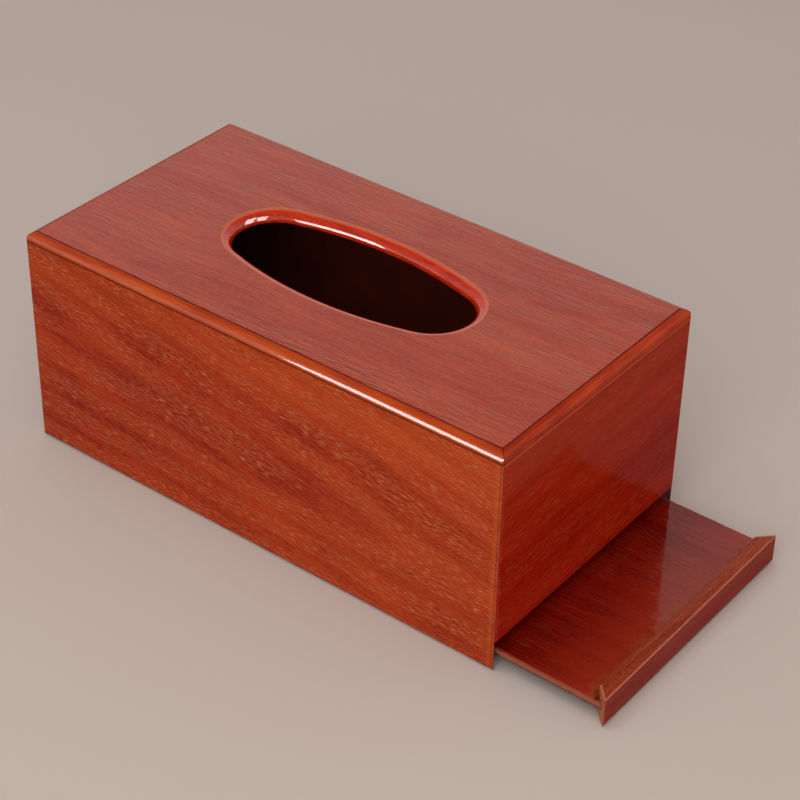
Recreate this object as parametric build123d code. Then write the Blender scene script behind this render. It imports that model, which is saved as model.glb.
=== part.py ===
from build123d import *
import math
import os

# A tissue box in veneered, lacquered board. Its bottom is a thin board that slides in
# grooves round the inside of the walls, with a mitred pull strip across its outer end.
# X runs along the box towards the pull strip, Y across it and Z up from the table.
# The pieces are drawn with the bottom closed, and the bottom is then pulled part way out.

# Case, outside
case_length = 240.0
case_width = 125.0
case_height = 101.6
corner_radius = 1.6  # upright outer corners, sanded round
foot_radius = 2.0  # lower outer edge, all round

# Boards of the case
wall = 6.5  # with its veneer
veneer = 0.4
arris = 0.35  # chamfer on each side of a joint that shows as a fine V

# Top: a panel that drops in between the walls, edged with solid lippings that sit on them
top_thickness = 4.6  # panel and veneer
lipping_radius = 3.7  # the lipping is as high as its round
lipping_mitre_gap = 0.2  # glue line between two lippings
shoulder = 0.3  # from the start of a round to the edge of the veneer
veneer_corner = 0.8

# Oval opening in the top
slot_length = 115.0
slot_width = 47.2
slot_end_radius = 17.7
slot_round = 4.0

# Short end wall, over the sliding bottom
mouth_height = 14.2

# Sliding bottom
board_thickness = 3.0  # with its veneer
board_underside = 6.0
groove_depth = 3.8
running_clearance = 0.3
pulled_out = 49.2

# Pull strip
strip_thickness = 6.2
strip_seat = 3.2  # how far the board is let into the strip
strip_underside = 0.5
strip_headroom = 0.5  # under the short end wall
strip_end_clearance = 0.45
strip_edge_radius = 0.5

top_underside = case_height - top_thickness
lipping_top = case_height - veneer
wall_top = lipping_top - lipping_radius
strip_top = mouth_height - strip_headroom
board_top = board_underside + board_thickness
tongue = groove_depth - running_clearance  # what the board reaches into a groove

low_corner = (Align.MIN, Align.MIN)

# Each side is drawn along X with its outer face on Y = 0, and then turned into its place.
front = Pos(0, -case_width / 2, 0)
back = Pos(0, case_width / 2, 0) * Rot(0, 0, 180)
left = Pos(-case_length / 2, 0, 0) * Rot(0, 0, -90)
right = Pos(case_length / 2, 0, 0) * Rot(0, 0, 90)

case_outline = extrude(RectangleRounded(case_length, case_width, corner_radius), case_height)


def block(thickness, low, high):
    """Rectangular section from the outer face inwards, between two heights."""
    return Pos(0, low) * Rectangle(thickness, high - low, align=low_corner)


def outer_corner(section, end):
    """Corner on the section's outer face: the lowest for end 0, the highest for end -1."""
    return section.vertices().group_by(Axis.X)[0].sort_by(Axis.Y)[end]


def groove(thickness, depth, low, high):
    """Section of a groove cut into the inner face of a board."""
    return Pos(thickness - depth, 0) * block(depth, low, high)


def mitred(section, length, thickness, end_gap=0.0):
    """Length of a section with both ends cut at 45 degrees, longest on the outer face."""
    half = length / 2 - end_gap
    plan = Polygon(
        (-half, 0),
        (half, 0),
        (half - thickness, thickness),
        (thickness - half, thickness),
        align=None,
    )
    return extrude(Plane.YZ * section, length / 2, both=True) & extrude(plan, case_height)


def core_and_skin(section):
    """Parts a section into its core and the veneer on its outer face."""
    face = block(veneer, 0, case_height)
    return section - face, section & face


def wall_section(low):
    """Section of a wall, rounded at the table or chamfered where it ends above it."""
    section = block(wall, low, wall_top)
    if low == 0:
        section = fillet(outer_corner(section, 0), foot_radius)
    else:
        section = chamfer(outer_corner(section, 0), arris)
    return chamfer(outer_corner(section, -1), arris)


def add_wall(name, place, length, section):
    """Cuts one mitred wall and its veneer, rounded where they meet the upright corners."""
    core, skin = core_and_skin(section)
    parts[name + "_wall"] = case_outline & (place * mitred(core, length, wall))
    parts[name + "_veneer"] = case_outline & (place * mitred(skin, length, wall))


def lipping_section():
    """Quarter-round lipping, as wide as the wall that it sits on."""
    edge = CenterArc((lipping_radius, wall_top), lipping_radius, 90, 90)
    flats = Polyline(
        edge @ 1,
        (wall, wall_top),
        (wall, lipping_top),
        edge @ 0,
    )
    under_arris = Polygon((0, wall_top), (arris, wall_top), (0, wall_top + arris), align=None)
    return make_face([edge, flats]) - under_arris


def oval(half_length, half_width, end_radius):
    """Oval of four tangent arcs: two end arcs and two long flat ones."""
    end_x = half_length - end_radius
    rise = half_width - end_radius
    side_radius = (end_x**2 + half_width**2 - end_radius**2) / (2 * rise)
    side_y = side_radius - half_width
    turn = math.degrees(math.atan2(side_y, end_x))
    return make_face(
        [
            CenterArc((end_x, 0), end_radius, -turn, 2 * turn),
            CenterArc((0, -side_y), side_radius, turn, 180 - 2 * turn),
            CenterArc((-end_x, 0), end_radius, 180 - turn, 2 * turn),
            CenterArc((0, side_y), side_radius, 180 + turn, 180 - 2 * turn),
        ]
    )


def slot_cut(growth):
    """Oval opening through the whole top, grown by an amount all round."""
    outline = oval(slot_length / 2 + growth, slot_width / 2 + growth, slot_end_radius + growth)
    return Pos(0, 0, top_underside) * extrude(outline, top_thickness)


parts = {}

# Walls: mitred at the four corners. Three stand on the table and are grooved for the
# bottom, and the fourth stops short above it to let the pull strip close under it.
grooved = wall_section(0) - groove(
    wall, groove_depth, board_underside - running_clearance, board_top + running_clearance
)
add_wall("front", front, case_length, grooved)
add_wall("back", back, case_length, grooved)
add_wall("left", left, case_width, grooved)
add_wall("right", right, case_width, wall_section(mouth_height))

# Lippings: solid strips on top of the walls, mitred like a frame.
lipping_gap = lipping_mitre_gap / math.sqrt(2)
for name, place, length in (
    ("front", front, case_length),
    ("back", back, case_length),
    ("left", left, case_width),
    ("right", right, case_width),
):
    strip = mitred(lipping_section(), length, wall, lipping_gap)
    parts["lipping_" + name] = case_outline & (place * strip)

# Top panel: fills the frame of lippings and drops in between the walls. The oval's upper
# edge is rounded over into the hole.
panel = Pos(0, 0, top_underside) * extrude(
    Rectangle(case_length - 2 * wall, case_width - 2 * wall), lipping_top - top_underside
)
panel -= slot_cut(0)
rim = panel.faces().sort_by(Axis.Z)[-1].inner_wires()[0].edges()
parts["top_panel"] = fillet(rim, slot_round)

# Top veneer: one sheet over the panel and the flats of the lippings, cut back to a fine
# shoulder at the start of each round.
veneer_inset = lipping_radius + shoulder
sheet = RectangleRounded(
    case_length - 2 * veneer_inset, case_width - 2 * veneer_inset, veneer_corner
)
parts["top_veneer"] = Pos(0, 0, lipping_top) * extrude(sheet, veneer) - slot_cut(
    slot_round + shoulder
)

# Sliding bottom: its edges run in the grooves of the walls, and its outer end is let
# into the pull strip.
board_start = -case_length / 2 + wall - tongue
board_end = case_length / 2 - strip_thickness + strip_seat
board_width = case_width - 2 * (wall - tongue)
board_plan = Pos(board_start, 0) * Rectangle(
    board_end - board_start, board_width, align=(Align.MIN, Align.CENTER)
)
board_core_thickness = board_thickness - veneer
board_core = Pos(0, 0, board_underside) * extrude(board_plan, board_core_thickness)
board_skin = Pos(0, 0, board_top - veneer) * extrude(board_plan, veneer)

# Pull strip: the foot of the end wall, cut free and fixed to the board, with the same
# round along its lower edge and its ends mitred to close against the long walls.
strip_section = fillet(outer_corner(block(strip_thickness, 0, strip_top), 0), foot_radius)
strip_section = fillet(outer_corner(strip_section, -1), strip_edge_radius)
strip_section -= block(strip_thickness, 0, strip_underside)
strip_section -= groove(strip_thickness, strip_seat, board_underside, board_top)
for name, section in zip(("pull_strip", "pull_strip_veneer"), core_and_skin(strip_section)):
    strip = mitred(section, case_width, strip_thickness, strip_end_clearance)
    parts[name] = case_outline & (right * strip)
parts["slide_board"] = board_core
parts["slide_board_veneer"] = board_skin

# The origin lies on the table, in the middle of the box with its bottom pulled out.
to_origin = Pos(-pulled_out / 2, 0, 0)
sliding = ("pull_strip", "pull_strip_veneer", "slide_board", "slide_board_veneer")

os.makedirs("parts", exist_ok=True)
for name, shape in parts.items():
    place = to_origin * Pos(pulled_out, 0, 0) if name in sliding else to_origin
    export_step(place * shape, f"parts/{name}.step")
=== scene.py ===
import math
import bmesh
import bpy
from mathutils import Matrix, Vector, noise


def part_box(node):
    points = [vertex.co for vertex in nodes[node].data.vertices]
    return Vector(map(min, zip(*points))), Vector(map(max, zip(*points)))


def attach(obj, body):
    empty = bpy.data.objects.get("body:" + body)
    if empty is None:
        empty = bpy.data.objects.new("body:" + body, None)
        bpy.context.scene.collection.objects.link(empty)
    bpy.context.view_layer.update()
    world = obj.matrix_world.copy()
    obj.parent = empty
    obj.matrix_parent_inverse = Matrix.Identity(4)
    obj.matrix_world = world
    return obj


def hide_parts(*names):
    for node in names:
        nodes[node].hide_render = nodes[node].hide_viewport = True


# A tissue box in lacquered, red-stained veneer. Its thin bottom board slides out at one end.
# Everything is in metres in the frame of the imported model, with X along the box towards the
# pull strip, Y towards the back and Z up from the table.
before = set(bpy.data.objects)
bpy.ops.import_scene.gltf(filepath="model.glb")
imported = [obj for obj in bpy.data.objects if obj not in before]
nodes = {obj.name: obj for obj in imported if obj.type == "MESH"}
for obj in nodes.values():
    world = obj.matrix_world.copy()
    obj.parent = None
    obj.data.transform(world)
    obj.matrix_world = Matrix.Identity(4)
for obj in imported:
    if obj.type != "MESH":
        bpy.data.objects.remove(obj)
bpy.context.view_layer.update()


# ---------------------------------------------------------------------------------------
# Case walls: four boards of fibreboard, mitred and glued at the corners and grooved inside
# for the bottom. They show only inside the box, along the foot and at the mitred ends,
# where the dark red-brown stain is brushed on and left without a polish.

MM = 0.001


def linear(hex_colour):
    """An sRGB colour written as hex, as the linear colour that Blender's sockets take."""
    parts = [int(hex_colour[i : i + 2], 16) / 255 for i in (0, 2, 4)]
    curve = [c / 12.92 if c <= 0.04045 else ((c + 0.055) / 1.055) ** 2.4 for c in parts]
    return (*curve, 1.0)


def add(tree, kind, inputs=None, **settings):
    """Adds a node to a tree: its settings, then each socket's value or what feeds it."""
    node = tree.nodes.new(kind)
    for name, value in settings.items():
        setattr(node, name, value)
    for socket, value in (inputs or {}).items():
        if isinstance(value, bpy.types.Node):
            value = next(output for output in value.outputs if output.enabled)
        if isinstance(value, bpy.types.NodeSocket):
            tree.links.new(value, node.inputs[socket])
        else:
            node.inputs[socket].default_value = value
    return node


def new_finish(name):
    """An empty material, its tree, and millimetres on the piece to lay a pattern by."""
    material = bpy.data.materials.new(name)
    material.use_nodes = True
    tree = material.node_tree
    tree.nodes.clear()
    place = add(tree, "ShaderNodeTexCoord").outputs["Object"]
    millimetres = add(tree, "ShaderNodeVectorMath", {0: place, 3: 1 / MM}, operation="SCALE")
    return material, tree, millimetres


def finish_with(tree, **sockets):
    """Ends a material in one shader with these sockets' values, and wood's IOR of 1.5."""
    inputs = {"IOR": 1.5}
    inputs.update({name.replace("_", " "): value for name, value in sockets.items()})
    shader = add(tree, "ShaderNodeBsdfPrincipled", inputs)
    add(tree, "ShaderNodeOutputMaterial", {"Surface": shader})


def dress(node_names, material):
    """Gives CAD nodes a finish in place of their plain one."""
    for name in node_names:
        nodes[name].data.materials.clear()
        nodes[name].data.materials.append(material)


def stained_board():
    """Fibreboard under brushed stain: dull, dark, slightly cloudy, with a dusty nap."""
    material, tree, mm = new_finish("stained_fibreboard")
    clouds = add(tree, "ShaderNodeTexNoise", {"Vector": mm, "Scale": 1 / 18, "Detail": 3.0})
    nap = add(tree, "ShaderNodeTexNoise", {"Vector": mm, "Scale": 1 / 0.8, "Detail": 2.0})
    colour = add(
        tree,
        "ShaderNodeMix",
        {0: clouds, 6: linear("3A120A"), 7: linear("5A2012")},
        data_type="RGBA",
    )
    relief = add(
        tree, "ShaderNodeBump", {"Height": nap, "Strength": 0.25, "Distance": 0.1 * MM}
    )
    finish_with(
        tree, Base_Color=colour, Roughness=0.6, Specular_IOR_Level=0.1, Normal=relief
    )
    return material


dress(("front_wall", "back_wall", "left_wall", "right_wall"), stained_board())


# ---------------------------------------------------------------------------------------
# Side veneers: sheets of ring-porous veneer such as ash, 0.4 mm thick, stained red and
# lacquered to a gloss. The grain runs round the box. Rows of open pores catch the light
# between smooth, darker bands of late wood.

CASE_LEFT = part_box("left_veneer")[0].x
CASE_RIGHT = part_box("right_veneer")[1].x
CASE_LENGTH = CASE_RIGHT - CASE_LEFT
CASE_MIDDLE = (CASE_LEFT + CASE_RIGHT) / 2
CASE_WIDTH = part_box("back_veneer")[1].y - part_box("front_veneer")[0].y
JOINT_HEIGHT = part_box("lipping_front")[0].z  # V joint between the walls and the lippings


def stripe(tree, place, start, end, soft):
    """1 where a distance lies between two others, fading to 0 beyond them."""
    rise = add(
        tree, "ShaderNodeMapRange", {"Value": place, "From Min": start - soft, "From Max": start}
    )
    fall = add(
        tree, "ShaderNodeMapRange", {"Value": place, "From Min": end + soft, "From Max": end}
    )
    return add(tree, "ShaderNodeMath", {0: rise, 1: fall}, operation="MULTIPLY")


def paint(tree, colour, *coats):
    """Lays further colours over one, each where its mask is, as strongly as its share."""
    for mask, share, hex_colour in coats:
        strength = add(tree, "ShaderNodeMath", {0: mask, 1: share}, operation="MULTIPLY")
        colour = add(
            tree,
            "ShaderNodeMix",
            {0: strength, 6: colour, 7: linear(hex_colour)},
            data_type="RGBA",
        )
    return colour


def veneer_figure(tree, mm, turn, heart, colours, pore_size, shares, figure=1.0):
    """Colour of stained veneer, and its open pores.

    turn lays the grain along the pattern's X. heart is the height of the figure's middle,
    its depth in the trunk, the rings' spacing and the length between two arches, in mm.
    colours are late wood, early wood, pore and fleck. pore_size is a pore's length and
    width, and shares say how strongly the pores and the flecks beside them show. figure
    scales the contrast of the rings and streaks.
    """
    late, early, pore, fleck = colours
    sheet = add(tree, "ShaderNodeMapping", {"Vector": mm, "Rotation": turn})

    # Slow wander of the fibres by up to 3.5 mm, over 60 mm along them and 26 mm across,
    # which bends the rings and the rows of pores alike
    slow = add(
        tree,
        "ShaderNodeVectorMath",
        {0: sheet, 1: (1 / 60, 1 / 26, 1 / 26)},
        operation="MULTIPLY",
    )
    wander = add(tree, "ShaderNodeTexNoise", {"Vector": slow, "Scale": 1.0, "Detail": 0.0})
    shift = add(
        tree, "ShaderNodeMath", {0: wander, 1: 7.0, 2: -3.5}, operation="MULTIPLY_ADD"
    )
    sideways = add(tree, "ShaderNodeCombineXYZ", {"Y": shift})
    fibres = add(tree, "ShaderNodeVectorMath", {0: sheet, 1: sideways}, operation="ADD")

    # Growth rings, cut nearly along the trunk: long arches about the heart line
    heart_height, heart_depth, ring_spacing, arch_length = heart
    across = add(tree, "ShaderNodeSeparateXYZ", {0: fibres})
    from_heart = add(
        tree, "ShaderNodeMath", {0: across.outputs["Y"], 1: heart_height}, operation="SUBTRACT"
    )
    squared = add(
        tree,
        "ShaderNodeMath",
        {0: from_heart, 1: from_heart, 2: heart_depth**2},
        operation="MULTIPLY_ADD",
    )
    radius = add(tree, "ShaderNodeMath", {0: squared}, operation="SQRT")
    along = add(
        tree,
        "ShaderNodeMath",
        {0: across.outputs["X"], 1: ring_spacing / arch_length, 2: radius},
        operation="MULTIPLY_ADD",
    )
    wave = add(
        tree, "ShaderNodeMath", {0: along, 1: math.tau / ring_spacing}, operation="MULTIPLY"
    )
    season = add(tree, "ShaderNodeMath", {0: wave}, operation="SINE")

    # 1 in the porous early wood, and a third in the smooth late wood
    porous = add(
        tree,
        "ShaderNodeMapRange",
        {"Value": season, "From Min": -0.9, "From Max": 0.1, "To Min": 0.33},
        interpolation_type="SMOOTHSTEP",
    )

    # Open pores in rows, dark inside, with a lit lip beside each
    dots = []
    for lift in (0.0, 0.75):
        cells = add(
            tree,
            "ShaderNodeVectorMath",
            {
                0: fibres,
                1: (1 / pore_size[0], 1 / pore_size[1], 1 / pore_size[1]),
                2: (0, lift, 0),
            },
            operation="MULTIPLY_ADD",
        )
        spots = add(
            tree,
            "ShaderNodeTexNoise",
            {"Vector": cells, "Scale": 1.0, "Detail": 1.0, "Roughness": 0.6},
        )
        cut = add(
            tree, "ShaderNodeMapRange", {"Value": spots, "From Min": 0.52, "From Max": 0.64}
        )
        dots.append(add(tree, "ShaderNodeMath", {0: cut, 1: porous}, operation="MULTIPLY"))
    pores, lips = dots

    # Streaks of the fibres, a nap finer than they are, and slow clouds: each one's length
    # and width in mm, and its weight
    tone = add(tree, "ShaderNodeMath", {0: porous, 1: 0.3 * figure}, operation="MULTIPLY")
    for size, weight in (((20, 1.1), 1.1), ((1.8, 0.6), 1.0), ((55, 18), 0.9)):
        place = add(
            tree,
            "ShaderNodeVectorMath",
            {0: fibres, 1: (1 / size[0], 1 / size[1], 1 / size[1])},
            operation="MULTIPLY",
        )
        streaks = add(
            tree, "ShaderNodeTexNoise", {"Vector": place, "Scale": 1.0, "Detail": 2.0}
        )
        centred = add(tree, "ShaderNodeMath", {0: streaks, 1: 0.5}, operation="SUBTRACT")
        tone = add(
            tree,
            "ShaderNodeMath",
            {0: centred, 1: weight * 1.6 * figure, 2: tone},
            operation="MULTIPLY_ADD",
        )
    tone = add(
        tree, "ShaderNodeMapRange", {"Value": tone, "From Min": -0.3, "From Max": 0.7}
    )
    colour = add(
        tree,
        "ShaderNodeMix",
        {0: tone, 6: linear(late), 7: linear(early)},
        data_type="RGBA",
    )
    colour = paint(tree, colour, (pores, shares[0], pore), (lips, shares[1], fleck))
    return colour, pores


def lacquer(tree, colour, pores, gloss, coat, index, dull):
    """Ends a veneer in clear lacquer that sinks into the open pores and is dull at an edge."""
    shine = add(tree, "ShaderNodeMath", {0: dull, 1: -coat, 2: coat}, operation="MULTIPLY_ADD")
    dent = add(
        tree,
        "ShaderNodeBump",
        {"Height": pores, "Strength": 0.3, "Distance": 0.05 * MM},
        invert=True,
    )
    finish_with(
        tree,
        Base_Color=colour,
        Roughness=0.5,
        Specular_IOR_Level=0.0,
        Normal=dent,
        Coat_Weight=shine,
        Coat_Roughness=gloss,
        Coat_IOR=index,
        Coat_Normal=dent,
    )


# Along the box: lively figure, with painted light towards the top, the end and the corners
long_veneer, tree, mm = new_finish("red_stained_ash_veneer_along")
colour, pores = veneer_figure(
    tree,
    mm,
    turn=(math.radians(-90), 0, math.radians(8)),
    heart=(43.0, 8.0, 13.0, 130.0),
    colours=("861406", "B4380E", "440A04", "DC7444"),
    pore_size=(4.0, 0.5),
    shares=(0.95, 0.7),
)
place = add(tree, "ShaderNodeSeparateXYZ", {0: mm}).outputs
from_end = add(
    tree, "ShaderNodeMath", {0: CASE_RIGHT / MM, 1: place["X"]}, operation="SUBTRACT"
)
joint = JOINT_HEIGHT / MM
in_joint = stripe(tree, place["Z"], joint - 0.3, joint + 0.5, 0.2)
colour = paint(
    tree,
    colour,
    (stripe(tree, place["Z"], joint - 12, joint, 14.0), 0.25, "C85418"),  # painted light: oranger near the top
    (stripe(tree, from_end, 0.0, 45.0, 110.0), 0.08, "E07030"),  # painted light: oranger towards the end
    (stripe(tree, from_end, 1.8, 3.0, 0.9), 0.3, "C45A20"),  # painted highlight beside the corner
    (stripe(tree, from_end, 1.2, 1.4, 0.25), 0.45, "5E1608"),  # a darker line along the corner
    (stripe(tree, from_end, -1.0, 0.9, 0.3), 0.35, "B45030"),  # painted highlight on the rounded corner
    (in_joint, 0.8, "5A2012"),  # painted shade in the V joint
)
lacquer(tree, colour, pores, gloss=0.1, coat=0.35, index=1.5, dull=in_joint)

# Across the ends: long straight pores and a deeper red
end_veneer, tree, mm = new_finish("red_stained_ash_veneer_end")
colour, pores = veneer_figure(
    tree,
    mm,
    turn=(math.radians(-90), math.radians(-90), math.radians(-5)),
    heart=(-20.0, 40.0, 14.0, 200.0),
    colours=("880E02", "AC2006", "520803", "C85830"),
    pore_size=(6.0, 0.6),
    shares=(0.35, 0.3),
)
place = add(tree, "ShaderNodeSeparateXYZ", {0: mm}).outputs
in_joint = stripe(tree, place["Z"], joint - 0.1, joint + 0.5, 0.15)
colour = paint(
    tree,
    colour,
    (stripe(tree, place["Z"], joint - 6, joint, 45.0), 0.2, "C84A18"),  # painted light: lighter towards the top
    (stripe(tree, place["Z"], joint - 0.7, joint - 0.2, 0.25), 0.7, "C4583A"),  # painted highlight along the top arris
    (in_joint, 0.6, "6A1408"),  # painted shade in the V joint
)
lacquer(tree, colour, pores, gloss=0.08, coat=0.22, index=1.5, dull=in_joint)

dress(("front_veneer", "back_veneer"), long_veneer)
dress(("left_veneer", "right_veneer"), end_veneer)


# ---------------------------------------------------------------------------------------
# Lippings: quarter-round strips of solid wood, mitred like a picture frame and glued on
# top of the walls, with a V joint under them. They take the stain lighter, as a clear
# orange under the lacquer. One tree of nodes makes all four from their sizes.

LIPPING_LOW, LIPPING_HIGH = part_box("lipping_front")
LIPPING_HEIGHT = LIPPING_HIGH.z - LIPPING_LOW.z
LIPPING_WIDTH = LIPPING_HIGH.y - LIPPING_LOW.y
CORNER_RADIUS = 1.6 * MM
JOINT_ARRIS = 0.35 * MM
MITRE_GAP = 0.141 * MM  # taken off each end, along the lipping
ROUND_STEPS = 24
CORNER_STEPS = 5
SHARP_BEND = math.radians(30)  # an edge that bends more stays crisp
WELD = 0.002 * MM  # points this near each other are one


def lipping_wood(name, dark, light, coat):
    """Solid wood under stain and gloss lacquer, with painted shade towards the veneer and in the V
    joint, and a dark line at the veneer's edge.
    """
    material, tree, mm = new_finish(name)
    long_way = add(tree, "ShaderNodeAttribute", attribute_name="grain")
    fine = add(
        tree,
        "ShaderNodeVectorMath",
        {0: long_way.outputs["Vector"], 1: (1 / 18, 1 / 1.1, 1 / 1.1)},
        operation="MULTIPLY",
    )
    grain = add(tree, "ShaderNodeTexNoise", {"Vector": fine, "Scale": 1.0, "Detail": 3.0})
    slow = add(tree, "ShaderNodeTexNoise", {"Vector": mm, "Scale": 1 / 45, "Detail": 2.0})
    tone = add(tree, "ShaderNodeMath", {0: grain, 1: slow}, operation="ADD")
    ranged = add(
        tree, "ShaderNodeMapRange", {"Value": tone, "From Min": 0.75, "From Max": 1.25}
    )
    colour = add(
        tree,
        "ShaderNodeMix",
        {0: ranged, 6: linear(dark), 7: linear(light)},
        data_type="RGBA",
    )
    section = add(tree, "ShaderNodeAttribute", attribute_name="section").outputs["Vector"]
    across = add(tree, "ShaderNodeVectorMath", {0: section, 3: 1 / MM}, operation="SCALE")
    across = add(tree, "ShaderNodeSeparateXYZ", {0: across}).outputs
    crest = LIPPING_HEIGHT / MM  # the round ends as far in as the lipping is high
    past_it = crest + 9.0
    colour = paint(
        tree,
        colour,
        # Painted shade over the upper round, darkening towards the veneer
        (stripe(tree, across["X"], 0.9 * crest, past_it, 0.5 * crest), 0.55, "821404"),
        # A dark line at the foot of the veneer's edge
        (stripe(tree, across["X"], crest - 0.05, past_it, 0.3), 0.85, "5A140A"),
        # Painted shade along the foot, in the V joint
        (stripe(tree, across["Y"], -1.0, 0.25, 0.25), 0.8, "6A1C0C"),
    )
    ripple = add(
        tree, "ShaderNodeBump", {"Height": grain, "Strength": 0.1, "Distance": 0.04 * MM}
    )
    finish_with(
        tree,
        Base_Color=colour,
        Roughness=0.45,
        Specular_IOR_Level=0.0,
        Coat_Weight=coat,
        Coat_Roughness=0.05,
        Coat_IOR=1.5,
        Coat_Normal=ripple,
    )
    return material


def lipping_tree():
    """Sweeps a quarter-round section between two mitres, eased round the upright corners."""
    tree = bpy.data.node_groups.new("quarter_round_lipping", "GeometryNodeTree")
    tree.is_modifier = True
    for name in ("Length", "Width", "Height", "Corner Radius", "Arris", "Mitre Gap"):
        tree.interface.new_socket(name, in_out="INPUT", socket_type="NodeSocketFloat")
    for name in ("Round Steps", "Corner Steps"):
        tree.interface.new_socket(name, in_out="INPUT", socket_type="NodeSocketInt")
    tree.interface.new_socket("Wood", in_out="INPUT", socket_type="NodeSocketMaterial")
    tree.interface.new_socket("Lipping", in_out="OUTPUT", socket_type="NodeSocketGeometry")
    size = add(tree, "NodeGroupInput").outputs

    # Section: a rectangle from the outer face inwards, with its upper outer corner rounded
    low_inner = add(tree, "ShaderNodeCombineXYZ", {"X": size["Width"]})
    high_inner = add(tree, "ShaderNodeCombineXYZ", {"X": size["Width"], "Y": size["Height"]})
    high_outer = add(tree, "ShaderNodeCombineXYZ", {"Y": size["Height"]})
    rectangle = add(
        tree,
        "GeometryNodeCurvePrimitiveQuadrilateral",
        {
            "Point 1": low_inner,
            "Point 2": high_inner,
            "Point 3": high_outer,
            "Point 4": (0, 0, 0),
        },
        mode="POINTS",
    )
    index = add(tree, "GeometryNodeInputIndex")
    is_outer = add(tree, "ShaderNodeMath", {0: index, 1: 2.0, 2: 0.5}, operation="COMPARE")
    round_radius = add(
        tree, "ShaderNodeMath", {0: is_outer, 1: size["Height"]}, operation="MULTIPLY"
    )
    round_count = add(
        tree,
        "ShaderNodeMath",
        {0: is_outer, 1: size["Round Steps"], 2: 1.0},
        operation="MULTIPLY_ADD",
    )
    rounded = add(
        tree,
        "GeometryNodeFilletCurve",
        {"Curve": rectangle, "Radius": round_radius, "Count": round_count},
        mode="POLY",
    )
    section = add(
        tree,
        "GeometryNodeStoreNamedAttribute",
        {"Geometry": rounded, "Name": "section", "Value": add(tree, "GeometryNodeInputPosition")},
        data_type="FLOAT_VECTOR",
    )

    # Path: a row of stations, most of them round the two upright corners
    line = add(tree, "GeometryNodeCurvePrimitiveLine", {"End": (1, 0, 0)})
    twice = add(
        tree,
        "ShaderNodeMath",
        {0: size["Corner Steps"], 1: 2.0, 2: 2.0},
        operation="MULTIPLY_ADD",
    )
    stations = add(
        tree, "GeometryNodeResampleCurve", {"Curve": line, "Count": twice}, mode="COUNT"
    )
    path = add(
        tree,
        "GeometryNodeStoreNamedAttribute",
        {"Geometry": stations, "Name": "station", "Value": index},
        data_type="FLOAT",
    )
    swept = add(
        tree,
        "GeometryNodeCurveToMesh",
        {"Curve": path, "Profile Curve": section, "Fill Caps": True},
    )

    # Where each point belongs: on the straight, round the corner, or on the mitre
    station = add(
        tree, "GeometryNodeInputNamedAttribute", {"Name": "station"}, data_type="FLOAT"
    )
    from_middle = add(
        tree, "ShaderNodeMath", {0: station, 1: size["Corner Steps"]}, operation="SUBTRACT"
    )
    from_middle = add(
        tree, "ShaderNodeMath", {0: from_middle, 1: 0.5}, operation="SUBTRACT"
    )
    end = add(tree, "ShaderNodeMath", {0: from_middle}, operation="SIGN")
    steps_out = add(tree, "ShaderNodeMath", {0: from_middle}, operation="ABSOLUTE")
    steps_out = add(tree, "ShaderNodeMath", {0: steps_out, 1: 0.5}, operation="SUBTRACT")
    share = add(
        tree, "ShaderNodeMath", {0: steps_out, 1: size["Corner Steps"]}, operation="DIVIDE"
    )
    angle = add(tree, "ShaderNodeMath", {0: share, 1: math.pi / 4}, operation="MULTIPLY")
    cosine = add(tree, "ShaderNodeMath", {0: angle}, operation="COSINE")
    sine = add(tree, "ShaderNodeMath", {0: angle}, operation="SINE")
    set_back = add(tree, "ShaderNodeMath", {0: 1.0, 1: cosine}, operation="SUBTRACT")
    set_back = add(
        tree, "ShaderNodeMath", {0: set_back, 1: size["Corner Radius"]}, operation="MULTIPLY"
    )
    short_by = add(tree, "ShaderNodeMath", {0: 1.0, 1: sine}, operation="SUBTRACT")
    short_by = add(
        tree,
        "ShaderNodeMath",
        {0: short_by, 1: size["Corner Radius"], 2: size["Mitre Gap"]},
        operation="MULTIPLY_ADD",
    )
    place = add(
        tree, "GeometryNodeInputNamedAttribute", {"Name": "section"}, data_type="FLOAT_VECTOR"
    )
    place = add(tree, "ShaderNodeSeparateXYZ", {0: place})
    arris = add(
        tree, "ShaderNodeMath", {0: size["Arris"], 1: place.outputs["Y"]}, operation="SUBTRACT"
    )
    depth = add(
        tree, "ShaderNodeMath", {0: place.outputs["X"], 1: arris}, operation="MAXIMUM"
    )
    depth = add(tree, "ShaderNodeMath", {0: depth, 1: set_back}, operation="MAXIMUM")
    half = add(
        tree, "ShaderNodeMath", {0: size["Length"], 1: 0.5, 2: set_back}, operation="MULTIPLY_ADD"
    )
    half = add(tree, "ShaderNodeMath", {0: half, 1: short_by}, operation="SUBTRACT")
    half = add(tree, "ShaderNodeMath", {0: half, 1: depth}, operation="SUBTRACT")
    along = add(tree, "ShaderNodeMath", {0: half, 1: end}, operation="MULTIPLY")
    spot = add(
        tree, "ShaderNodeCombineXYZ", {"X": along, "Y": depth, "Z": place.outputs["Y"]}
    )
    shaped = add(tree, "GeometryNodeSetPosition", {"Geometry": swept, "Position": spot})
    merged = add(
        tree, "GeometryNodeMergeByDistance", {"Geometry": shaped, "Distance": WELD}
    )
    grain = add(tree, "ShaderNodeVectorMath", {0: spot, 3: 1 / MM}, operation="SCALE")
    grained = add(
        tree,
        "GeometryNodeStoreNamedAttribute",
        {"Geometry": merged, "Name": "grain", "Value": grain},
        data_type="FLOAT_VECTOR",
    )
    bend = add(tree, "GeometryNodeInputMeshEdgeAngle").outputs["Unsigned Angle"]
    is_sharp = add(
        tree, "ShaderNodeMath", {0: bend, 1: SHARP_BEND}, operation="GREATER_THAN"
    )
    creased = add(
        tree,
        "GeometryNodeSetShadeSmooth",
        {"Geometry": grained, "Selection": is_sharp, "Shade Smooth": False},
        domain="EDGE",
    )
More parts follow.
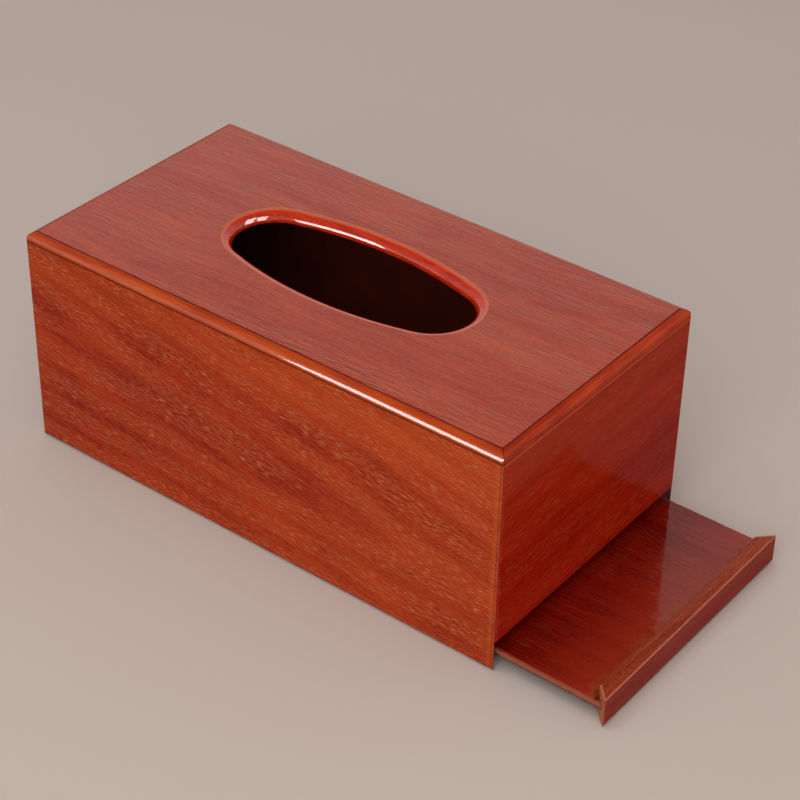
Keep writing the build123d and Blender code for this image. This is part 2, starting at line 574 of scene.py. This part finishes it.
    whole = add(tree, "GeometryNodeRealizeInstances", {"Geometry": creased})
    finished = add(
        tree, "GeometryNodeSetMaterial", {"Geometry": whole, "Material": size["Wood"]}
    )
    add(tree, "NodeGroupOutput", {"Lipping": finished})
    return tree


def new_piece(name, mesh, body, slot, *node_names):
    """Puts a finished mesh into the scene as a piece that stands for CAD nodes."""
    piece = bpy.data.objects.new(name, mesh)
    bpy.context.scene.collection.objects.link(piece)
    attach(piece, body)
    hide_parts(*node_names)
    return piece


def make_lipping(name, tree, length, wood, place):
    """One lipping from the tree, put in its place in the mesh itself."""
    maker = bpy.data.objects.new(name + "_maker", bpy.data.meshes.new(name + "_maker"))
    bpy.context.scene.collection.objects.link(maker)
    sizes = {
        "Length": length,
        "Width": LIPPING_WIDTH,
        "Height": LIPPING_HEIGHT,
        "Corner Radius": CORNER_RADIUS,
        "Arris": JOINT_ARRIS,
        "Mitre Gap": MITRE_GAP,
        "Round Steps": ROUND_STEPS,
        "Corner Steps": CORNER_STEPS,
        "Wood": wood,
    }
    sweep = maker.modifiers.new("sweep", "NODES")
    sweep.node_group = tree
    for socket in tree.interface.items_tree:
        if socket.in_out == "INPUT":
            sweep[socket.identifier] = sizes[socket.name]
    depsgraph = bpy.context.evaluated_depsgraph_get()
    mesh = bpy.data.meshes.new_from_object(maker.evaluated_get(depsgraph))
    bpy.data.objects.remove(maker)
    mesh.transform(place)
    return mesh


lippings = lipping_tree()
long_wood = lipping_wood("orange_stained_lipping_along", "9C3008", "C04C08", coat=0.75)
end_wood = lipping_wood("red_stained_lipping_end", "8E1C02", "BE3C06", coat=0.4)
rest_on_walls = Matrix.Translation((CASE_MIDDLE, 0, JOINT_HEIGHT))
for side, quarter_turns, length, reach, wood in (
    ("front", 0, CASE_LENGTH, CASE_WIDTH / 2, long_wood),
    ("right", 1, CASE_WIDTH, CASE_LENGTH / 2, end_wood),
    ("back", 2, CASE_LENGTH, CASE_WIDTH / 2, long_wood),
    ("left", 3, CASE_WIDTH, CASE_LENGTH / 2, end_wood),
):
    turn = Matrix.Rotation(quarter_turns * math.pi / 2, 4, "Z")
    outwards = Matrix.Translation((0, -reach, 0))
    mesh = make_lipping(side, lippings, length, wood, rest_on_walls @ turn @ outwards)
    new_piece("quarter_round_" + side, mesh, "case", "lipping", "lipping_" + side)


# ---------------------------------------------------------------------------------------
# Top panel: a board dropped in between the walls. Its oval opening is rounded over into
# the hole by nearly the board's thickness, and lacquered, so that its edge shines.

PANEL_LOW, PANEL_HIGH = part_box("top_panel")
OVAL_HALF_LENGTH = 57.5 * MM
OVAL_HALF_WIDTH = 23.6 * MM
OVAL_END_RADIUS = 17.7 * MM
RIM_ROUND = 4.0 * MM
SHOULDER = 0.3 * MM  # flat ring between the round and the veneer, left without veneer
PAINTED_RIM_SHEEN = (1.0, 1.0, 0.7, 0.4, 0.15)  # strength of the painted reflection on the rings, from under the veneer inwards
RIM_STEPS = 16
END_ARC_STEPS = 44
LONG_ARC_STEPS = 60


def oval_points():
    """Points round the oval's narrowest line, each with its outward direction."""
    end_x = OVAL_HALF_LENGTH - OVAL_END_RADIUS
    rise = OVAL_HALF_WIDTH - OVAL_END_RADIUS
    long_radius = (end_x**2 + OVAL_HALF_WIDTH**2 - OVAL_END_RADIUS**2) / (2 * rise)
    long_y = long_radius - OVAL_HALF_WIDTH
    turn = math.atan2(long_y, end_x)
    arcs = (
        ((end_x, 0), OVAL_END_RADIUS, -turn, 2 * turn, END_ARC_STEPS),
        ((0, -long_y), long_radius, turn, math.pi - 2 * turn, LONG_ARC_STEPS),
        ((-end_x, 0), OVAL_END_RADIUS, math.pi - turn, 2 * turn, END_ARC_STEPS),
        ((0, long_y), long_radius, math.pi + turn, math.pi - 2 * turn, LONG_ARC_STEPS),
    )
    points = []
    for centre, radius, start, sweep, steps in arcs:
        for step in range(steps):
            angle = start + sweep * step / steps
            outward = Vector((math.cos(angle), math.sin(angle)))
            points.append((Vector(centre) + outward * radius, outward))
    return points


def rectangle_points(half_length, half_width, corner, steps):
    """Points round a rectangle with rounded corners, anticlockwise."""
    points = []
    for quarter, (x, y) in enumerate(((1, 1), (-1, 1), (-1, -1), (1, -1))):
        centre = Vector((x * (half_length - corner), y * (half_width - corner)))
        for step in range(steps + 1):
            angle = (quarter + step / max(steps, 1)) * math.pi / 2
            points.append(centre + corner * Vector((math.cos(angle), math.sin(angle))))
    return points


def add_ring(bm, points, z):
    """A closed ring of vertices at one height, set about the middle of the case."""
    return [bm.verts.new((CASE_MIDDLE + point.x, point.y, z)) for point in points]


def oval_ring(bm, growth, z):
    """A ring round the oval, set out from its narrowest line by an amount."""
    return add_ring(bm, [point + outward * growth for point, outward in oval], z)


def join_rings(bm, first, second, smooth=True):
    """A band of faces between two rings of as many vertices."""
    for i in range(len(first)):
        j = (i + 1) % len(first)
        bm.faces.new((first[i], first[j], second[j], second[i])).smooth = smooth


def cover(bm, *rings):
    """Flat faces over the area between two rings."""
    edges = []
    for ring in rings:
        for i, vertex in enumerate(ring):
            after = ring[(i + 1) % len(ring)]
            edges.append(bm.edges.get((vertex, after)) or bm.edges.new((vertex, after)))
    bmesh.ops.triangle_fill(bm, edges=edges, use_beauty=True, use_dissolve=False)


def close_mesh(bm, name, material):
    """Turns the faces outwards, keeps sharp bends crisp and makes the mesh."""
    bmesh.ops.recalc_face_normals(bm, faces=bm.faces)
    for edge in bm.edges:
        edge.smooth = len(edge.link_faces) == 2 and edge.calc_face_angle() < SHARP_BEND
    mesh = bpy.data.meshes.new(name)
    bm.to_mesh(mesh)
    bm.free()
    mesh.materials.append(material)
    return mesh


def rim_wood():
    """Solid wood under orange-red stain, lacquered thick where it rolls into the hole."""
    material, tree, mm = new_finish("orange_red_stained_rim")
    fine = add(
        tree,
        "ShaderNodeVectorMath",
        {0: mm, 1: (1 / 14, 1 / 1.2, 1 / 1.2)},
        operation="MULTIPLY",
    )
    grain = add(tree, "ShaderNodeTexNoise", {"Vector": fine, "Scale": 1.0, "Detail": 3.0})
    ranged = add(
        tree, "ShaderNodeMapRange", {"Value": grain, "From Min": 0.3, "From Max": 0.7}
    )
    colour = add(
        tree,
        "ShaderNodeMix",
        {0: ranged, 6: linear("A41602"), 7: linear("C63206")},
        data_type="RGBA",
    )
    painted_sheen = add(tree, "ShaderNodeAttribute", attribute_name="painted_sheen")
    # Painted reflection: paler over the flat ring and the top of the round
    colour = paint(tree, colour, (painted_sheen.outputs["Fac"], 0.9, "C4603A"))
    ripple = add(
        tree, "ShaderNodeBump", {"Height": grain, "Strength": 0.15, "Distance": 0.05 * MM}
    )
    finish_with(
        tree,
        Base_Color=colour,
        Roughness=0.45,
        Specular_IOR_Level=0.0,
        Coat_Weight=1.0,
        Coat_Roughness=0.07,
        Coat_IOR=1.5,
        Coat_Normal=ripple,
    )
    return material


bm = bmesh.new()
sheen_layer = bm.verts.layers.float.new("painted_sheen")
oval = oval_points()
lower_arris = PANEL_HIGH.z - RIM_ROUND - PANEL_LOW.z  # chamfer from the round to the foot
rings = [oval_ring(bm, lower_arris, PANEL_LOW.z)]
for step in range(RIM_STEPS + 1):
    angle = math.pi / 2 * step / RIM_STEPS
    growth = RIM_ROUND * (1 - math.cos(angle))
    rings.append(oval_ring(bm, growth, PANEL_HIGH.z - RIM_ROUND * (1 - math.sin(angle))))
rings.append(oval_ring(bm, RIM_ROUND + 2 * SHOULDER, PANEL_HIGH.z))
# The painted reflection, strongest on the outermost rings
for ring, sheen_weight in zip(reversed(rings), PAINTED_RIM_SHEEN):
    for vertex in ring:
        vertex[sheen_layer] = sheen_weight
for first, second in zip(rings, rings[1:]):
    join_rings(bm, first, second)
panel_plan = rectangle_points(
    (PANEL_HIGH.x - PANEL_LOW.x) / 2, (PANEL_HIGH.y - PANEL_LOW.y) / 2, 0, 0
)
panel_foot = add_ring(bm, panel_plan, PANEL_LOW.z)
panel_head = add_ring(bm, panel_plan, PANEL_HIGH.z)
join_rings(bm, panel_foot, panel_head, smooth=False)
cover(bm, panel_head, rings[-1])
cover(bm, panel_foot, rings[0])
new_piece(
    "rimmed_top_panel",
    close_mesh(bm, "rimmed_top_panel", rim_wood()),
    "case",
    "top_core",
    "top_panel",
)


# ---------------------------------------------------------------------------------------
# Top veneer: one sheet over the panel and the flats of the lippings, trimmed back to the
# start of the rounds. Its edge round the oval is eased, and painted paler along it.
# It is the same wood as the sides, with straight grain and a quieter figure, in pinker
# colours that carry a painted reflection of the pale surround.

SHEET_LOW, SHEET_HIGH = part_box("top_veneer")
SHEET_CORNER = 0.8 * MM
SHEET_CORNER_STEPS = 6
EASED = 0.15 * MM  # width of the eased edge
PALE_EDGE = 0.35 * MM  # how far the paler line fades out over the face

top_finish, tree, mm = new_finish("red_stained_ash_veneer_top")
# Pinker colours than the sides', with a painted reflection of the pale surround in them
colour, pores = veneer_figure(
    tree,
    mm,
    turn=(0, 0, math.radians(-1.5)),
    heart=(-30.0, 40.0, 15.0, 700.0),
    colours=("902410", "B04426", "561208", "D48464"),
    pore_size=(12.0, 0.5),
    shares=(0.65, 0.22),
    figure=0.8,
)
trimmed = add(tree, "ShaderNodeAttribute", attribute_name="trimmed").outputs["Fac"]
colour = paint(tree, colour, (trimmed, 0.75, "C87C64"))
lacquer(tree, colour, pores, gloss=0.09, coat=1.0, index=1.42, dull=trimmed)

bm = bmesh.new()
pale = bm.verts.layers.float.new("trimmed")
trimmed_edge = (
    (0.0, SHEET_LOW.z),
    (0.0, SHEET_HIGH.z - EASED),
    (EASED, SHEET_HIGH.z),
    (PALE_EDGE, SHEET_HIGH.z),
)
hole_rings = [oval_ring(bm, RIM_ROUND + SHOULDER + inset, z) for inset, z in trimmed_edge]
half_length = (SHEET_HIGH.x - SHEET_LOW.x) / 2
half_width = (SHEET_HIGH.y - SHEET_LOW.y) / 2
border = rectangle_points(half_length, half_width, SHEET_CORNER, SHEET_CORNER_STEPS)
border_rings = [add_ring(bm, border, z) for z in (SHEET_LOW.z, SHEET_HIGH.z)]
for edge_rings in (hole_rings, border_rings):
    for first, second in zip(edge_rings, edge_rings[1:]):
        join_rings(bm, first, second, smooth=False)
for vertex in hole_rings[0] + hole_rings[1] + hole_rings[2]:
    vertex[pale] = 1.0
cover(bm, border_rings[-1], hole_rings[-1])
cover(bm, border_rings[0], hole_rings[0])
new_piece(
    "trimmed_top_veneer",
    close_mesh(bm, "trimmed_top_veneer", top_finish),
    "case",
    "top_veneer",
    "top_veneer",
)


# ---------------------------------------------------------------------------------------
# Sliding bottom: a thin board with veneer on its upper face, whose edges run in the
# grooves. The veneer is dark and highly polished, with painted light towards the strip,
# out of the case's shade, and a ragged dark brown band along the strip. Its sawn edges
# are only wiped with stain, and the veneer is chipped along them.

BOARD_LOW, BOARD_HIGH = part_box("slide_board")
BOARD_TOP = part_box("slide_board_veneer")[1].z
STRIP_LOW, STRIP_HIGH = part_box("pull_strip")
STRIP_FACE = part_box("pull_strip_veneer")[1].x
BOARD_STATIONS = 420
BOARD_EASED = 0.25 * MM  # lower edges
DEEPEST_CHIP = 0.34 * MM
CHIP_REACH = 1.6  # over the face, for each part down the edge
CHIP_LENGTH = 6 * MM
FLAKE_LENGTH = 1.1 * MM  # finer breaks within a chip


def inwards(tree, across, half_width):
    """Distance in mm from the nearer side, from a place across the board or the strip."""
    off_middle = add(tree, "ShaderNodeMath", {0: across}, operation="ABSOLUTE")
    return add(
        tree, "ShaderNodeMath", {0: half_width / MM, 1: off_middle}, operation="SUBTRACT"
    )


board_finish, tree, mm = new_finish("dark_red_veneer_bottom")
colour, pores = veneer_figure(
    tree,
    mm,
    turn=(0, 0, 0),
    heart=(20.0, 20.0, 12.0, 300.0),
    colours=("540401", "780E02", "2C0201", "A84E34"),
    pore_size=(7.0, 0.6),
    shares=(0.35, 0.12),
    figure=1.3,
)

# A ragged dark brown band along the strip, up to about 5 mm wide, and wider in front
place = add(tree, "ShaderNodeSeparateXYZ", {0: mm}).outputs
ragged = add(tree, "ShaderNodeTexNoise", {"Vector": mm, "Scale": 1 / 4, "Detail": 4.0})
spread = add(tree, "ShaderNodeMath", {0: ragged, 1: -13.0, 2: 4.6}, operation="MULTIPLY_ADD")
spread = add(
    tree, "ShaderNodeMath", {0: place["Y"], 1: 0.025, 2: spread}, operation="MULTIPLY_ADD"
)
from_strip = add(
    tree, "ShaderNodeMath", {0: STRIP_LOW.x / MM, 1: place["X"]}, operation="SUBTRACT"
)
ragged_band = add(tree, "ShaderNodeMath", {0: from_strip, 1: spread}, operation="ADD")
from_side = inwards(tree, place["Y"], BOARD_HIGH.y)
chipped = stripe(tree, from_side, -1.0, 0.5, 0.3)
colour = paint(
    tree,
    colour,
    (stripe(tree, from_strip, -1.0, 6.0, 26.0), 0.4, "A83824"),  # painted light: lighter near the strip, out of the case's shade
    (stripe(tree, ragged_band, -20.0, 0.0, 3.0), 0.6, "8A4218"),  # soft rim of the ragged band
    (stripe(tree, ragged_band, -20.0, -2.4, 1.6), 0.45, "4A2410"),  # its dark middle
    (stripe(tree, from_strip, -1.0, 0.25, 0.15), 0.7, "3A1208"),  # painted shade in the corner against the strip
    (chipped, 0.5, "A4583E"),  # bare wood along the chipped edges
)
lacquer(tree, colour, pores, gloss=0.05, coat=1.0, index=1.5, dull=chipped)


def sawn_edge_wood():
    """Board edge left from the saw, wiped with stain and worn pinkish in patches, with painted
    shade making it browner towards the bottom.
    """
    material, tree, mm = new_finish("wiped_sawn_board")
    fibres = add(
        tree,
        "ShaderNodeVectorMath",
        {0: mm, 1: (1 / 5, 1 / 0.6, 1 / 0.6)},
        operation="MULTIPLY",
    )
    nap = add(tree, "ShaderNodeTexNoise", {"Vector": fibres, "Scale": 1.0, "Detail": 4.0})
    height = add(tree, "ShaderNodeSeparateXYZ", {0: mm})
    # Painted shade: the edge is browner towards the bottom
    level = add(
        tree,
        "ShaderNodeMapRange",
        {
            "Value": height.outputs["Z"],
            "From Min": BOARD_LOW.z / MM + 0.2,
            "From Max": BOARD_HIGH.z / MM - 1.0,
        },
    )
    paler_share = add(
        tree, "ShaderNodeMath", {0: nap, 1: 1.4, 2: -0.7}, operation="MULTIPLY_ADD"
    )
    paler_share = add(tree, "ShaderNodeMath", {0: paler_share, 1: level}, operation="ADD", use_clamp=True)
    colour = add(
        tree,
        "ShaderNodeMix",
        {0: paler_share, 6: linear("50241A"), 7: linear("96503E")},
        data_type="RGBA",
    )
    relief = add(
        tree, "ShaderNodeBump", {"Height": nap, "Strength": 0.5, "Distance": 0.1 * MM}
    )
    finish_with(
        tree, Base_Color=colour, Roughness=0.7, Specular_IOR_Level=0.2, Normal=relief
    )
    return material


def long_board(name, section_at, material):
    """Sweeps a section along the board. section_at gives its points at one station."""
    bm = bmesh.new()
    rows = []
    for station in range(BOARD_STATIONS + 1):
        x = BOARD_LOW.x + (BOARD_HIGH.x - BOARD_LOW.x) * station / BOARD_STATIONS
        rows.append([bm.verts.new((x, y, z)) for y, z in section_at(x)])
    for first, second in zip(rows, rows[1:]):
        join_rings(bm, first, second, smooth=False)
    bm.faces.new(rows[0])
    bm.faces.new(rows[-1])
    return close_mesh(bm, name, material)


def chip_depth(x, side):
    """How much of the veneer's edge is rubbed or chipped off at a place along the board."""
    coarse = noise.noise((x / CHIP_LENGTH, side * 5.0, 0.3))
    fine = noise.noise((x / FLAKE_LENGTH, side * 5.0, 7.7))
    return DEEPEST_CHIP * min(1.0, max(0.25, 0.45 + 0.6 * coarse + 0.5 * fine))


def core_section(x):
    """The board under its veneer, with its lower edges eased, the same at every station."""
    wide = BOARD_HIGH.y
    return (
        (-wide, BOARD_LOW.z + BOARD_EASED),
        (-wide + BOARD_EASED, BOARD_LOW.z),
        (wide - BOARD_EASED, BOARD_LOW.z),
        (wide, BOARD_LOW.z + BOARD_EASED),
        (wide, BOARD_HIGH.z),
        (-wide, BOARD_HIGH.z),
    )


def skin_section(x):
    """The veneer on the board, with its long edges chipped."""
    wide = BOARD_HIGH.y
    near, far = chip_depth(x, -1), chip_depth(x, 1)
    return (
        (-wide, BOARD_HIGH.z),
        (wide, BOARD_HIGH.z),
        (wide, BOARD_TOP - far),
        (wide - CHIP_REACH * far, BOARD_TOP),
        (-wide + CHIP_REACH * near, BOARD_TOP),
        (-wide, BOARD_TOP - near),
    )


new_piece(
    "sawn_bottom_board",
    long_board("sawn_bottom_board", core_section, sawn_edge_wood()),
    "bottom",
    "board_core",
    "slide_board",
)
new_piece(
    "chipped_bottom_veneer",
    long_board("chipped_bottom_veneer", skin_section, board_finish),
    "bottom",
    "board_veneer",
    "slide_board_veneer",
)


# ---------------------------------------------------------------------------------------
# Pull strip: the foot of the end wall, cut free and glued across the board's end. Its
# outer upper arris carries a painted highlight, and the edges and points of its mitres are paler.

# Veneer on its outer face, as on the end wall, worn duller
strip_finish, tree, mm = new_finish("red_stained_ash_veneer_strip")
colour, pores = veneer_figure(
    tree,
    mm,
    turn=(math.radians(-90), math.radians(-90), 0),
    heart=(-60.0, 40.0, 10.0, 700.0),
    colours=("80180C", "982A16", "5A0E08", "B84E32"),
    pore_size=(6.0, 0.5),
    shares=(0.3, 0.25),
    figure=0.8,
)
place = add(tree, "ShaderNodeSeparateXYZ", {0: mm}).outputs
from_side = inwards(tree, place["Y"], STRIP_HIGH.y)
from_top = add(
    tree, "ShaderNodeMath", {0: STRIP_HIGH.z / MM, 1: place["Z"]}, operation="SUBTRACT"
)
# Painted highlight along the upper arris
paler_share = stripe(tree, from_top, -1.0, 0.3, 0.2)
colour = paint(
    tree,
    colour,
    (paler_share, 0.7, "C4745A"),  # painted highlight along the upper arris
    (stripe(tree, from_side, -1.0, 0.4, 0.2), 0.6, "B86046"),  # points of the mitres
)
lacquer(tree, colour, pores, gloss=0.12, coat=0.35, index=1.5, dull=paler_share)

# Solid wood of its top, back and mitred ends, stained browner, with the grain along it
strip_core_finish, tree, mm = new_finish("red_brown_stained_strip")
colour, pores = veneer_figure(
    tree,
    mm,
    turn=(0, 0, math.radians(90)),
    heart=(-60.0, 40.0, 10.0, 700.0),
    colours=("78220F", "964020", "5A1408", "C07A54"),
    pore_size=(5.0, 0.5),
    shares=(0.3, 0.12),
)
place = add(tree, "ShaderNodeSeparateXYZ", {0: mm}).outputs
from_face = add(
    tree, "ShaderNodeMath", {0: STRIP_FACE / MM, 1: place["X"]}, operation="SUBTRACT"
)
from_mitre = inwards(tree, place["Y"], STRIP_HIGH.y)
from_mitre = add(
    tree, "ShaderNodeMath", {0: from_mitre, 1: from_face}, operation="SUBTRACT"
)
# Painted highlight along the outer arris, beside the veneer
paler_share = stripe(tree, from_face, -1.0, 0.5, 0.2)
colour = paint(
    tree,
    colour,
    (paler_share, 0.4, "B86A4C"),  # painted highlight along the arris beside the veneer
    (stripe(tree, from_mitre, -1.0, 0.35, 0.2), 0.6, "C47A58"),  # edges of the mitres
)
lacquer(tree, colour, pores, gloss=0.15, coat=0.4, index=1.5, dull=paler_share)
dress(("pull_strip_veneer",), strip_finish)
dress(("pull_strip",), strip_core_finish)


# ---------------------------------------------------------------------------------------
# Studio: a plain pale floor and surround, a soft key light and a broad soft light
# overhead. Four more panels light nothing, and show as soft windows in the lacquer. The
# camera stands where the photograph was taken from.

FLOOR_HALF = 12.0  # metres from the middle to an edge
floor_mesh = bpy.data.meshes.new("studio_floor")
floor_mesh.from_pydata(
    [(x * FLOOR_HALF, y * FLOOR_HALF, 0.0) for x, y in ((-1, -1), (1, -1), (1, 1), (-1, 1))],
    [],
    [(0, 1, 2, 3)],
)
floor = bpy.data.objects.new("studio_floor", floor_mesh)
bpy.context.scene.collection.objects.link(floor)
floor_paint, tree, _ = new_finish("matt_pale_floor")  # emulsion paint, with no sheen
finish_with(tree, Base_Color=linear("BFB2AA"), Roughness=0.9, Specular_IOR_Level=0.0)
floor_mesh.materials.append(floor_paint)

world = bpy.data.worlds.new("studio_surround")
bpy.context.scene.world = world
world.use_nodes = True
tree = world.node_tree
tree.nodes.clear()

# The camera and the lacquer see a pale backdrop, darker overhead. An even fill lights the
# box.
rays = add(tree, "ShaderNodeLightPath").outputs
seen = add(
    tree,
    "ShaderNodeMath",
    {0: rays["Is Camera Ray"], 1: rays["Is Glossy Ray"]},
    operation="MAXIMUM",
)
seen = add(
    tree, "ShaderNodeMath", {0: seen, 1: rays["Is Transmission Ray"]}, operation="MAXIMUM"
)
direction = add(tree, "ShaderNodeTexCoord")
height = add(tree, "ShaderNodeSeparateXYZ", {0: direction.outputs["Generated"]})
backdrop_level = add(
    tree,
    "ShaderNodeMapRange",
    {
        "Value": height.outputs["Z"],
        "From Min": 0.45,
        "From Max": 0.8,
        "To Min": 1.0,
        "To Max": 0.25,
    },
)
backdrop = add(
    tree, "ShaderNodeBackground", {"Color": linear("F6F3F0"), "Strength": backdrop_level}
)
fill = add(tree, "ShaderNodeBackground", {"Color": linear("FFFAF5"), "Strength": 0.5})
shown = add(tree, "ShaderNodeMixShader", {0: seen, 1: fill, 2: backdrop})
add(tree, "ShaderNodeOutputWorld", {"Surface": shown})


def softbox(name, azimuth, elevation, distance, size, radiance, reflected=False):
    """A rectangular soft light that faces the box, unseen by the camera itself.

    The azimuth is from straight in front of the long side towards the pull strip's end.
    A light either falls on the box or is a bright window reflected in its lacquer.
    """
    turn, rise = math.radians(azimuth), math.radians(elevation)
    away = Vector(
        (math.sin(turn) * math.cos(rise), -math.cos(turn) * math.cos(rise), math.sin(rise))
    )
    lamp = bpy.data.lights.new(name, "AREA")
    lamp.shape = "RECTANGLE"
    lamp.size, lamp.size_y = size
    lamp.energy = radiance * math.pi * size[0] * size[1]
    stand = bpy.data.objects.new(name, lamp)
    stand.location = Vector((0, 0, SHEET_HIGH.z)) + away * distance
    stand.rotation_mode = "QUATERNION"
    stand.rotation_quaternion = (-away).to_track_quat("-Z", "Y")
    stand.visible_camera = False
    stand.visible_glossy = reflected
    stand.visible_diffuse = not reflected
    bpy.context.scene.collection.objects.link(stand)


softbox("key", 25, 35, 1.3, (0.9, 0.9), 2.95)
softbox("ceiling_panel", -40, 75, 1.9, (1.4, 1.4), 1.75)
softbox("window_left", -20, 8, 1.35, (0.56, 0.84), 20.0, reflected=True)
softbox("window_left_curtain", -41, 8, 1.35, (0.42, 0.7), 0.8, reflected=True)
softbox("window_right_near_pane", 74, 27, 1.35, (0.6, 1.1), 14.0, reflected=True)
softbox("window_right_far_pane", 109, 27, 1.35, (0.6, 1.1), 14.0, reflected=True)

# Camera, from the vanishing points of the box's edges in the photograph
eye = Vector((0.43873, -0.57471, 0.56340))
yaw, pitch, roll = -0.650998818, 0.618561474, 0.0212158606
FOCAL_PIXELS = 2192.126
FRAME_PIXELS = 800
SENSOR_WIDTH = 36.0
ahead = Vector(
    (math.sin(yaw) * math.cos(pitch), math.cos(yaw) * math.cos(pitch), -math.sin(pitch))
)
level = Vector((math.cos(yaw), -math.sin(yaw), 0.0))
upright = level.cross(ahead)
right = level * math.cos(roll) + upright * math.sin(roll)
up = upright * math.cos(roll) - level * math.sin(roll)
camera_data = bpy.data.cameras.new("camera")
camera_data.sensor_width = SENSOR_WIDTH
camera_data.lens = FOCAL_PIXELS * SENSOR_WIDTH / FRAME_PIXELS
camera_data.clip_start = 0.01
camera = bpy.data.objects.new("camera", camera_data)
facing = Matrix((right, up, -ahead)).transposed().to_4x4()
camera.matrix_world = Matrix.Translation(eye) @ facing
bpy.context.scene.collection.objects.link(camera)
bpy.context.scene.camera = camera

bpy.context.scene.view_settings.view_transform = "Standard"
